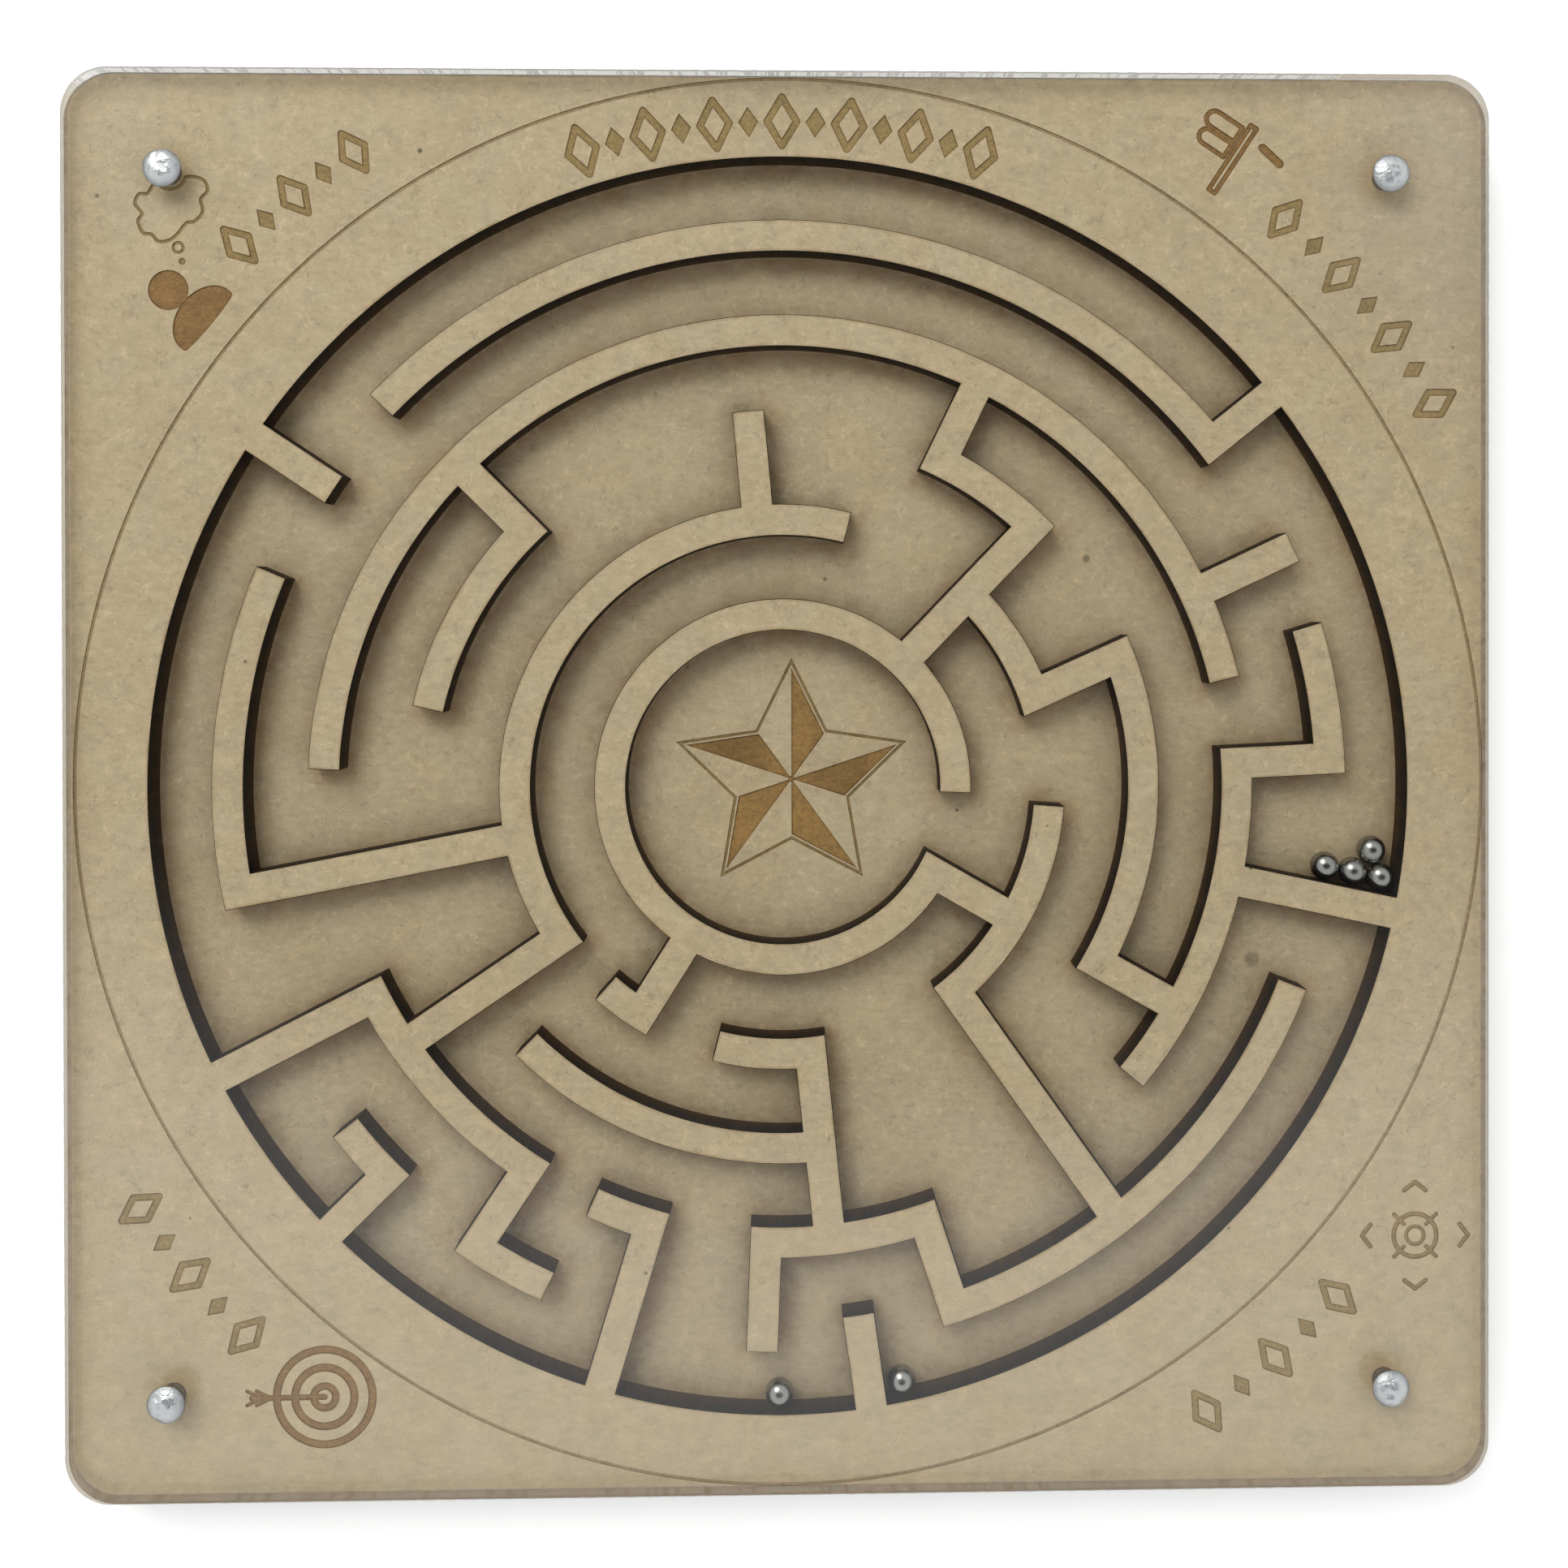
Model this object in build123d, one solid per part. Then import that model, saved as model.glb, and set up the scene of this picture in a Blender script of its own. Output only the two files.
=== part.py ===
from build123d import *
import math
import os

# Tilt maze game: three square sheets riveted in a stack, six steel balls between them.
# Millimetres. Origin: middle of the underside. +X right, +Y rear (top of the playing side), +Z up.

# ---- driving dimensions -------------------------------------------------------------------
board_side = 150.0        # both MDF sheets
board_corner_r = 5.0
base_t = 3.0              # lower sheet
maze_t = 3.2              # wall sheet
cover_t = 2.0             # acrylic sheet
cover_side = 149.0        # the acrylic is cut a little smaller
cover_corner_r = 4.8
cover_shift_y = 0.5       # and sits a little towards the rear

frame_hole_r = 66.5       # inner edge of the frame
ring_r0 = 18.26           # centre line of the innermost ring wall
ring_pitch = 10.0
ring_w = 3.33             # width of ring walls
spoke_w = 3.40            # width of spokes

rivet_x = 64.0            # rivet pattern, centred on the acrylic
rivet_shift_y = 0.5
rivet_shank_d = 2.4
rivet_hole_d = 2.5
rivet_head_d = 4.0
rivet_head_h = 1.15
rivet_foot_d = 4.3        # countersunk foot, flush with the underside
rivet_foot_angle = 90.0
rivet_foot_clear = 0.02

ball_d = 3.0
ball_lift = 0.01          # rolling gap under each ball
engrave_depth = 0.15
line_circle_r = 74.35     # engraved circle round the maze
line_circle_w = 0.28
line_circle_x = 0.2
line_circle_y = 0.4

star_x, star_y = 0.9, 0.5
star_r_out = 12.2         # engraved facets
star_r_in = 6.1
star_line_r_out = 13.0    # outline round the facets
star_line_r_in = 6.5
star_line_w = 0.24

# ring walls: level, start angle, end angle (degrees, counter-clockwise from +X)
# an end that meets a spoke stops on that spoke's centre line
rings = [
    (0, -2.1, 330.0),
    (1, 20.0, 46.0), (1, 75.9, 214.1), (1, 228.4, 237.8), (1, 255.4, 276.0), (1, 309.9, 355.8),
    (2, -29.4, 21.1), (2, 46.1, 64.1), (2, 135.0, 167.4), (2, 224.9, 275.8),
    (3, 13.4, 177.6), (3, 206.9, 236.1), (3, 245.2, 252.9), (3, 267.8, 288.0), (3, -40.0, 2.8),
    (4, 2.8, 16.8), (4, 38.6, 136.3), (4, 157.0, 190.6), (4, 217.7, 224.3), (4, 236.1, 244.7), (4, 286.35 + 1.65, 338.6),
]

# spokes: direction in degrees, first level, last level (5 is the frame), sideways offset
spokes = [
    (46.05, 0, 2, 0.0), (237.83, 0, 1, 0.0), (330.0, 0, 1, 0.0),
    (24.17, 1, 2, -2.08), (95.23, 1, 2, 0.0), (190.69, 1, 4, 0.0), (214.06, 1, 3, 0.0),
    (275.82, 1, 3, 0.0), (305.3, 1, 4, 2.30),
    (64.09, 2, 3, 0.0), (134.98, 2, 3, 0.0), (330.64, 2, 3, 0.0),
    (2.76, 3, 4, 0.0), (25.0, 3, 4, 0.0), (236.14, 3, 4, 0.0), (267.77, 3, 4, 0.0), (288.01, 3, 4, 0.0),
    (38.61, 4, 5, 0.0), (146.29, 4, 5, 0.0), (206.97, 3, 5, 0.0), (224.31, 4, 5, 0.0),
    (253.01, 3, 5, 0.0), (278.0, 4, 5, 0.0), (348.09, 3, 5, 0.0),
]

# balls: distance from the maze centre, angle
balls = [
    (58.88, 351.32), (61.93, 351.20), (63.65, 353.51), (64.97, 351.05),
    (64.97, 269.54), (64.97, 281.15),
]

z_floor = base_t
z_wall = base_t + maze_t
z_top = base_t + maze_t + cover_t


def ring_level(k):
    return ring_r0 + ring_pitch * k


def polar(r, a):
    return (r * math.cos(math.radians(a)), r * math.sin(math.radians(a)))


def arc_wall(level, a0, a1):
    """One ring wall: an annular sector with square-cut ends."""
    r0 = ring_level(level) - ring_w / 2
    r1 = ring_level(level) + ring_w / 2
    am = (a0 + a1) / 2
    inner = ThreePointArc(polar(r0, a0), polar(r0, am), polar(r0, a1))
    outer = ThreePointArc(polar(r1, a1), polar(r1, am), polar(r1, a0))
    s0 = Line(polar(r0, a1), polar(r1, a1))
    s1 = Line(polar(r1, a0), polar(r0, a0))
    return make_face(Wire([inner, s0, outer, s1]))


def spoke_wall(direction, lv0, lv1, offset):
    """One spoke: a straight strip that ends on the far edges of the rings it joins."""
    r0 = ring_level(lv0) - ring_w / 2
    r1 = frame_hole_r + 1.5 if lv1 == 5 else ring_level(lv1) + ring_w / 2
    strip = Rectangle(r1 + 5, spoke_w, align=(Align.MIN, Align.CENTER))
    strip = Rot(0, 0, direction) * (Pos(0, offset, 0) * strip)
    return strip & (Circle(r1) - Circle(r0))


def star_points(r_out, r_in, n=5):
    pts = []
    for i in range(2 * n):
        r = r_out if i % 2 == 0 else r_in
        x, y = polar(r, 90 - 180.0 * i / n)
        pts.append((star_x + x, star_y + y))
    return pts


def plate(side, corner, t, z0, y=0.0):
    return Pos(0, y, z0) * extrude(RectangleRounded(side, side, corner), t)


rivet_xy = {
    "front_left": (-rivet_x, -rivet_x + rivet_shift_y),
    "front_right": (rivet_x, -rivet_x + rivet_shift_y),
    "rear_left": (-rivet_x, rivet_x + rivet_shift_y),
    "rear_right": (rivet_x, rivet_x + rivet_shift_y),
}


def bore(t, z0):
    cut = None
    for x, y in rivet_xy.values():
        c = Pos(x, y, z0 - 1) * extrude(Circle(rivet_hole_d / 2), t + 2)
        cut = c if cut is None else cut + c
    return cut


# ---- lower sheet --------------------------------------------------------------------------
base = plate(board_side, board_corner_r, base_t, 0.0) - bore(base_t, 0.0)
foot_h = (rivet_foot_d - rivet_shank_d) / 2 / math.tan(math.radians(rivet_foot_angle / 2))
for x, y in rivet_xy.values():
    seat_r0 = rivet_foot_d / 2 + rivet_foot_clear
    seat_h = seat_r0 - rivet_hole_d / 2 + 0.001
    base -= Pos(x, y, 0) * Cone(seat_r0, seat_r0 - seat_h, seat_h, align=(Align.CENTER, Align.CENTER, Align.MIN))
facets = star_points(star_r_out, star_r_in)
for i in range(0, 10, 2):
    tip, notch = facets[i], facets[(i + 1) % 10]
    cx = (tip[0] + notch[0] + star_x) / 3
    cy = (tip[1] + notch[1] + star_y) / 3
    tri = [(cx + 0.93 * (p[0] - cx), cy + 0.93 * (p[1] - cy)) for p in (tip, notch, (star_x, star_y))]
    face = make_face(Polyline(*tri, close=True))
    base -= Pos(0, 0, z_floor - engrave_depth) * extrude(face, engrave_depth + 1)
out_pts = star_points(star_line_r_out, star_line_r_in)
in_pts = star_points(star_line_r_out - star_line_w * 2.0, star_line_r_in - star_line_w * 1.0)
outline = make_face(Polyline(*out_pts, close=True)) - make_face(Polyline(*in_pts, close=True))
base -= Pos(0, 0, z_floor - engrave_depth) * extrude(outline, engrave_depth + 1)

# ---- wall sheet: frame, ring walls and spokes are one laser-cut piece ---------------------
profile = RectangleRounded(board_side, board_side, board_corner_r) - Circle(frame_hole_r)
for level, a0, a1 in rings:
    profile += arc_wall(level, a0, a1)
for direction, lv0, lv1, offset in spokes:
    profile += spoke_wall(direction, lv0, lv1, offset)
maze = Pos(0, 0, z_floor) * extrude(profile, maze_t) - bore(maze_t, z_floor)
groove = Circle(line_circle_r + line_circle_w / 2) - Circle(line_circle_r - line_circle_w / 2)
maze -= Pos(line_circle_x, line_circle_y, z_wall - engrave_depth) * extrude(groove, engrave_depth + 1)

# ---- acrylic cover ------------------------------------------------------------------------
cover = plate(cover_side, cover_corner_r, cover_t, z_wall, cover_shift_y) - bore(cover_t, z_wall)

# ---- rivets: countersunk foot, shank and a hammered dome on the acrylic --------------------
def make_rivet(x, y):
    shank = extrude(Circle(rivet_shank_d / 2), z_top)
    foot = Cone(rivet_foot_d / 2, rivet_shank_d / 2, foot_h, align=(Align.CENTER, Align.CENTER, Align.MIN))
    hr = rivet_head_d / 2
    rim = 0.25
    rise = rivet_head_h - rim
    dome_r = (hr * hr + rise * rise) / (2 * rise)
    ball = Pos(0, 0, z_top + rim + rise - dome_r) * Sphere(dome_r)
    disc = Pos(0, 0, z_top) * extrude(Circle(hr), rivet_head_h + 0.5)
    head = disc & (ball + Pos(0, 0, z_top) * extrude(Circle(hr), rim))
    return Pos(x, y, 0) * (shank + foot + head)


# ---- balls --------------------------------------------------------------------------------
def make_ball(r, a):
    x, y = polar(r, a)
    return Pos(x, y, z_floor + ball_lift + ball_d / 2) * Sphere(ball_d / 2)


parts = {"base_board": base, "maze_layer": maze, "clear_cover": cover}
for name, (x, y) in rivet_xy.items():
    parts["rivet_" + name] = make_rivet(x, y)
for i, (r, a) in enumerate(balls):
    parts["steel_ball_%d" % (i + 1)] = make_ball(r, a)

os.makedirs("parts", exist_ok=True)
for name, shape in parts.items():
    solids = shape.solids()
    if len(solids) != 1:
        raise ValueError(name + " has %d solids" % len(solids))
    export_step(solids[0], "parts/" + name + ".step")
    print(name, round(solids[0].volume, 2), solids[0].is_valid)
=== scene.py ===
import math
import random

import bmesh
import bpy
from mathutils import Euler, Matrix, Vector, kdtree, noise
from mathutils.geometry import delaunay_2d_cdt


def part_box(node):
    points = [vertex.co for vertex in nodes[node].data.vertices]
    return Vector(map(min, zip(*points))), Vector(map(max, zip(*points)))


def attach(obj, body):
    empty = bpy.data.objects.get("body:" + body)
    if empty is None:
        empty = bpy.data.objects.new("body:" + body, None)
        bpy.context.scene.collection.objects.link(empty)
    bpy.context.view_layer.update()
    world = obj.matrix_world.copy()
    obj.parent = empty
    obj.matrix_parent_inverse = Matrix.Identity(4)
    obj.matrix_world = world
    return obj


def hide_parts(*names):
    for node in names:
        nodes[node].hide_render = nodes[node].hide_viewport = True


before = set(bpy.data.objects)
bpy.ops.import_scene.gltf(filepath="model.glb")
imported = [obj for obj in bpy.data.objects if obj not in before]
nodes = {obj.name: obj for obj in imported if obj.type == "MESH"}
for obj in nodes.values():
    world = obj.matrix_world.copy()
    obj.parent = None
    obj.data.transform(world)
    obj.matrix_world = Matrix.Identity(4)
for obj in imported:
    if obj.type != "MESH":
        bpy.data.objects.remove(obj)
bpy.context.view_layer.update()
rng = random.Random(11)

# Plan geometry is worked out in millimetres and written to the meshes in metres.
MM = 0.001
base_lo, base_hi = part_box("base_board")
maze_lo, maze_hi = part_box("maze_layer")
cover_lo, cover_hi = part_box("clear_cover")
Z_FLOOR = base_hi.z / MM
Z_WALL = maze_hi.z / MM
Z_TOP = cover_hi.z / MM
COVER_Y = (cover_lo.y + cover_hi.y) / 2 / MM
COVER_HALF = (cover_hi.x - cover_lo.x) / 2 / MM
RIVETS = {}
for corner in ("front_left", "front_right", "rear_left", "rear_right"):
    lo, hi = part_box("rivet_" + corner)
    RIVETS[corner] = ((lo.x + hi.x) / 2 / MM, (lo.y + hi.y) / 2 / MM)
HOLE_R = 1.25


# ------------------------------------------------------------------ plan outlines
def polar(r, a, cx=0.0, cy=0.0):
    return (cx + r * math.cos(math.radians(a)), cy + r * math.sin(math.radians(a)))


def circle_pts(cx, cy, r, n, ccw=True):
    pts = [polar(r, 360.0 * i / n, cx, cy) for i in range(n)]
    return pts if ccw else pts[::-1]


def rounded_square(cx, cy, half, r, step):
    """Counter-clockwise outline of a square with rounded corners, a point every `step` mm."""
    pts = []
    for k in range(4):
        ca = 90.0 * k + 45.0
        sx = 1 if math.cos(math.radians(ca)) > 0 else -1
        sy = 1 if math.sin(math.radians(ca)) > 0 else -1
        ox, oy = cx + sx * (half - r), cy + sy * (half - r)
        n = max(10, int(r * math.pi / 2 / min(step, 0.45)))
        for i in range(n + 1):
            pts.append(polar(r, 90.0 * k + 90.0 * i / n, ox, oy))
        nx, ny = polar(r, 90.0 * k + 90.0, ox, oy)
        sx2, sy2 = (-sx, sy) if k % 2 == 0 else (sx, -sy)
        ox2, oy2 = cx + sx2 * (half - r), cy + sy2 * (half - r)
        ex, ey = polar(r, 90.0 * k + 90.0, ox2, oy2)
        length = math.hypot(ex - nx, ey - ny)
        m = max(1, int(length / step))
        for i in range(1, m):
            pts.append((nx + (ex - nx) * i / m, ny + (ey - ny) * i / m))
    return pts


def cad_outlines(node, z):
    """Outlines of a CAD node's flat underside at height z, with the material on the left."""
    me = nodes[node].data
    key, ids = {}, []
    for v in me.vertices:
        k = (round(v.co.x * 1e6), round(v.co.y * 1e6), round(v.co.z * 1e6))
        ids.append(key.setdefault(k, len(key)))
    pos = {i: (k[0] / 1000.0, k[1] / 1000.0) for k, i in key.items()}
    directed = set()
    for p in me.polygons:
        if p.normal.z > -0.99 or any(abs(me.vertices[i].co.z - z) > 3e-6 for i in p.vertices):
            continue
        c = [ids[i] for i in p.vertices]
        for a, b in zip(c, c[1:] + c[:1]):
            if a != b:
                directed.add((b, a))
    nxt = {a: b for a, b in directed if (b, a) not in directed}
    loops = []
    while nxt:
        start = next(iter(sorted(nxt)))
        loop, cur = [], start
        while cur in nxt:
            loop.append(pos[cur])
            cur = nxt.pop(cur)
        if len(loop) > 2:
            loops.append(loop)
    return loops


def refine(loop, circles, max_step, max_angle):
    """Puts points back on the true circles between the CAD mesh's own points."""
    out = []
    n = len(loop)
    for i in range(n):
        p, q = loop[i], loop[(i + 1) % n]
        out.append(p)
        for cx, cy, r in circles:
            rp, rq = math.hypot(p[0] - cx, p[1] - cy), math.hypot(q[0] - cx, q[1] - cy)
            if abs(rp - r) < 0.006 and abs(rq - r) < 0.006:
                a = math.atan2(p[1] - cy, p[0] - cx)
                b = math.atan2(q[1] - cy, q[0] - cx)
                d = (b - a + math.pi) % (2 * math.pi) - math.pi
                m = max(1, math.ceil(abs(d) * r / max_step), math.ceil(math.degrees(abs(d)) / max_angle))
                for k in range(1, m):
                    t = a + d * k / m
                    out.append((cx + r * math.cos(t), cy + r * math.sin(t)))
                break
    kept = []
    for p in out:
        if not kept or math.hypot(p[0] - kept[-1][0], p[1] - kept[-1][1]) > 0.08:
            kept.append(p)
    while math.hypot(kept[0][0] - kept[-1][0], kept[0][1] - kept[-1][1]) < 0.08:
        kept.pop()
    return kept


def inset(loop, d):
    """Moves an outline into the material on its left by d."""
    if abs(d) < 1e-9:
        return list(loop)
    n, out = len(loop), []
    for i in range(n):
        a, p, b = loop[i - 1], loop[i], loop[(i + 1) % n]
        e0 = Vector((p[0] - a[0], p[1] - a[1])).normalized()
        e1 = Vector((b[0] - p[0], b[1] - p[1])).normalized()
        n0, n1 = Vector((-e0.y, e0.x)), Vector((-e1.y, e1.x))
        m = n0 + n1
        k = 1.0 + n0.dot(n1)
        m = m / max(k, 0.35)
        out.append((p[0] + m.x * d, p[1] + m.y * d))
    return out


def signed_area(loop):
    return 0.5 * sum(a[0] * b[1] - b[0] * a[1] for a, b in zip(loop, loop[1:] + loop[:1]))


def resample(loop, step):
    pts = []
    for a, b in zip(loop, loop[1:] + loop[:1]):
        d = math.hypot(b[0] - a[0], b[1] - a[1])
        m = max(1, math.ceil(d / step))
        for k in range(m):
            pts.append((a[0] + (b[0] - a[0]) * k / m, a[1] + (b[1] - a[1]) * k / m))
    return pts


# ------------------------------------------------------------------ engraved shapes
class Engraving:
    """Shapes cut into a sheet's face: a class number, outlines to fill and outlines to leave.
    The burnt border of a shape has its class number, its lighter middle that number + MIDDLE."""

    MIDDLE = 4

    def __init__(self):
        self.shapes = []

    def poly(self, cls, pts, hole=None, border=0.14):
        pts = list(pts)
        if signed_area(pts) < 0:
            pts.reverse()
        if hole is not None:
            hole = list(hole)
            if signed_area(hole) < 0:
                hole.reverse()
        self.shapes.append((cls, pts, hole))
        if border:
            self.shapes.append((cls + self.MIDDLE, inset(pts, border), inset(hole, -border) if hole else None))

    def disc(self, cls, c, r, n=40):
        self.poly(cls, circle_pts(c[0], c[1], r, n))

    def ring(self, cls, c, r, w, n=72):
        self.poly(cls, circle_pts(c[0], c[1], r + w / 2, n), circle_pts(c[0], c[1], r - w / 2, n), min(0.14, w * 0.26))

    def stroke(self, cls, p, q, w):
        a = math.degrees(math.atan2(q[1] - p[1], q[0] - p[0]))
        pts = [polar(w / 2, a - 90 + 180.0 * i / 8, q[0], q[1]) for i in range(9)]
        pts += [polar(w / 2, a + 90 + 180.0 * i / 8, p[0], p[1]) for i in range(9)]
        self.poly(cls, pts, border=min(0.14, w * 0.26))

    def line(self, cls, pts, w, closed=False):
        seq = list(pts) + ([pts[0]] if closed else [])
        for p, q in zip(seq, seq[1:]):
            self.stroke(cls, p, q, w)


def triangulate(loops, engraving=None, steiner=(), rims=()):
    """Fills the outlines, and says which triangles are engraved. Returns points, triangles and classes."""
    verts, faces, outer, holes, pos, neg = [], [], set(), set(), {}, {}

    def add(pts):
        start = len(verts)
        verts.extend(Vector(p) for p in pts)
        faces.append(list(range(start, start + len(pts))))
        return len(faces) - 1

    for loop in loops:
        if signed_area(loop) > 0:
            outer.add(add(loop))
        else:
            holes.add(add(loop[::-1]))
    if engraving:
        for s, (cls, pts, hole) in enumerate(engraving.shapes):
            pos[add(pts)] = s
            if hole is not None:
                neg[add(hole)] = s
    edges = []
    for rim in rims:
        start, n = len(verts), len(rim)
        verts.extend(Vector(p) for p in rim)
        edges += [(start + i, start + (i + 1) % n) for i in range(n)]
    verts.extend(Vector(p) for p in steiner)
    co, _, tris, _, _, orig = delaunay_2d_cdt(verts, edges, faces, 0, 1e-5, True)
    out, cls_of = [], []
    for t, ids in zip(tris, orig):
        ids = set(ids)
        if not ids & outer or ids & holes:
            continue
        inside = {pos[i] for i in ids if i in pos}
        inside -= {neg[i] for i in ids if i in neg}
        out.append(tuple(t))
        cls_of.append(max((engraving.shapes[s][0] for s in inside), default=0) if engraving else 0)
    return [(v.x, v.y) for v in co], out, cls_of


def sheet(name, loops, mats, engraving=None, depth=0.15, steiner=(), rim=None, face_mat=0, edge_mat=1, back_mat=0, arris_mat=None, engr_mats=None, values=None):
    """A flat sheet as one closed mesh. loops: (outline, [(z, inset), ...] from bottom to top)."""
    V, F, M = [], [], []

    def put(pts, z):
        start = len(V)
        V.extend((x * MM, y * MM, z * MM) for x, y in pts)
        return start

    z_hi = loops[0][1][-1][0]
    z_lo = loops[0][1][0][0]
    for loop, profile in loops:
        n = len(loop)
        starts = [put(inset(loop, d), z) for z, d in profile]
        for a, b, (_, d0), (_, d1) in zip(starts, starts[1:], profile, profile[1:]):
            mat = edge_mat if abs(d0 - d1) < 1e-9 or arris_mat is None else arris_mat
            for i in range(n):
                j = (i + 1) % n
                F.append((a + i, a + j, b + j, b + i))
                M.append(mat)
    rims = [inset(l, p[-1][1] + rim) for l, p in loops] if rim else ()
    pts, tris, cls = triangulate([inset(l, p[-1][1]) for l, p in loops], engraving, steiner, rims)
    used = sorted({i for t, c in zip(tris, cls) if c == 0 for i in t})
    top = {i: len(V) + k for k, i in enumerate(used)}
    put([pts[i] for i in used], z_hi)
    low_used = sorted({i for t, c in zip(tris, cls) if c for i in t})
    low = {i: len(V) + k for k, i in enumerate(low_used)}
    put([pts[i] for i in low_used], z_hi - depth)
    owner = {}
    for t, c in zip(tris, cls):
        level = low if c else top
        F.append(tuple(level[i] for i in t))
        M.append(engr_mats[c] if c else face_mat)
        for a, b in zip(t, t[1:] + t[:1]):
            owner[(a, b)] = c
    for (a, b), c in owner.items():
        other = owner.get((b, a))
        if c and other == 0:  # the wall of a cut faces into the cut
            F.append((low[a], top[a], top[b], low[b]))
            M.append(engr_mats[c])
    pts, tris, _ = triangulate([inset(l, p[0][1]) for l, p in loops])
    start = put(pts, z_lo)
    for t in tris:
        F.append(tuple(start + i for i in reversed(t)))
        M.append(back_mat)
    return solid(name, V, F, M, mats, 30.0, values)


def solid(name, V, F, M, mats, sharp_deg, values=None, weld=2e-6):
    me = bpy.data.meshes.new(name)
    me.from_pydata(V, [], F)
    for m in mats:
        me.materials.append(m)
    me.polygons.foreach_set("material_index", M)
    bm = bmesh.new()
    bm.from_mesh(me)
    bmesh.ops.remove_doubles(bm, verts=bm.verts, dist=weld)
    loose = [v for v in bm.verts if not v.link_faces]
    bmesh.ops.delete(bm, geom=loose, context="VERTS")
    bm.normal_update()
    bm.to_mesh(me)
    bm.free()
    me.validate()
    if values:
        for label, fn in values.items():
            att = me.attributes.new(label, "FLOAT", "POINT")
            att.data.foreach_set("value", [fn(v.co) for v in me.vertices])
    me.polygons.foreach_set("use_smooth", [True] * len(me.polygons))
    me.set_sharp_from_angle(angle=math.radians(sharp_deg))
    ob = bpy.data.objects.new(name, me)
    bpy.context.scene.collection.objects.link(ob)
    return ob


# ------------------------------------------------------------------ materials
class Tree:
    """Short names for building a node tree."""

    def __init__(self, tree):
        self.t = tree

    def node(self, kind, ins=None, **attrs):
        n = self.t.nodes.new(kind)
        for k, v in attrs.items():
            setattr(n, k, v)
        for k, v in (ins or {}).items():
            self.put(n.inputs[k], v)
        return n

    def put(self, socket, v):
        if isinstance(v, bpy.types.NodeSocket):
            self.t.links.new(v, socket)
        elif isinstance(v, bpy.types.Node):
            self.t.links.new(v.outputs[0], socket)
        elif isinstance(v, tuple) and socket.type == "VECTOR":
            socket.default_value = v[:3]
        else:
            socket.default_value = v

    def m(self, op, a, b=None, c=None, clamp=False):
        n = self.node("ShaderNodeMath", operation=op, use_clamp=clamp)
        for i, v in enumerate((a, b, c)):
            if v is not None:
                self.put(n.inputs[i], v)
        return n.outputs[0]

    def v(self, op, a, b=None, scale=None):
        n = self.node("ShaderNodeVectorMath", operation=op)
        self.put(n.inputs[0], a)
        if b is not None:
            self.put(n.inputs[1], b)
        if scale is not None:
            self.put(n.inputs["Scale"], scale)
        return n.outputs["Value"] if op in ("LENGTH", "DISTANCE", "DOT_PRODUCT") else n.outputs[0]

    def noise(self, vec, scale, detail=3.0, rough=0.55, dist=0.0):
        n = self.node("ShaderNodeTexNoise", {"Vector": vec, "Scale": scale, "Detail": detail, "Roughness": rough, "Distortion": dist})
        return n.outputs[0]

    def noise_col(self, vec, scale, detail=2.0):
        n = self.node("ShaderNodeTexNoise", {"Vector": vec, "Scale": scale, "Detail": detail})
        return n.outputs[1]

    def step(self, x, lo, hi, a=0.0, b=1.0):
        n = self.node("ShaderNodeMapRange", interpolation_type="SMOOTHSTEP")
        for k, v in (("Value", x), ("From Min", lo), ("From Max", hi), ("To Min", a), ("To Max", b)):
            self.put(n.inputs[k], v)
        return n.outputs[0]

    def mix(self, f, a, b, blend="MIX"):
        n = self.node("ShaderNodeMix", data_type="RGBA", blend_type=blend)
        for i, v in ((0, f), (6, a), (7, b)):
            self.put(n.inputs[i], v)
        return n.outputs[2]

    def sum(self, *terms):
        total = terms[0]
        for t in terms[1:]:
            total = self.m("ADD", total, t)
        return total


def lin(r, g, b):
    """sRGB 0..255 to linear."""
    out = []
    for c in (r, g, b):
        c /= 255.0
        out.append(c / 12.92 if c <= 0.04045 else ((c + 0.055) / 1.055) ** 2.4)
    return (out[0], out[1], out[2], 1.0)


def scaled(c, k):
    return (c[0] * k, c[1] * k, c[2] * k, 1.0)


def new_material(name):
    mat = bpy.data.materials.new(name)
    mat.use_nodes = True
    mat.node_tree.nodes.clear()
    g = Tree(mat.node_tree)
    out = g.node("ShaderNodeOutputMaterial")
    bsdf = g.node("ShaderNodeBsdfPrincipled")
    g.put(out.inputs["Surface"], bsdf.outputs[0])
    coord = g.node("ShaderNodeTexCoord").outputs["Object"]
    return mat, g, bsdf, g.v("SCALE", coord, scale=1000.0)  # millimetres


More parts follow.
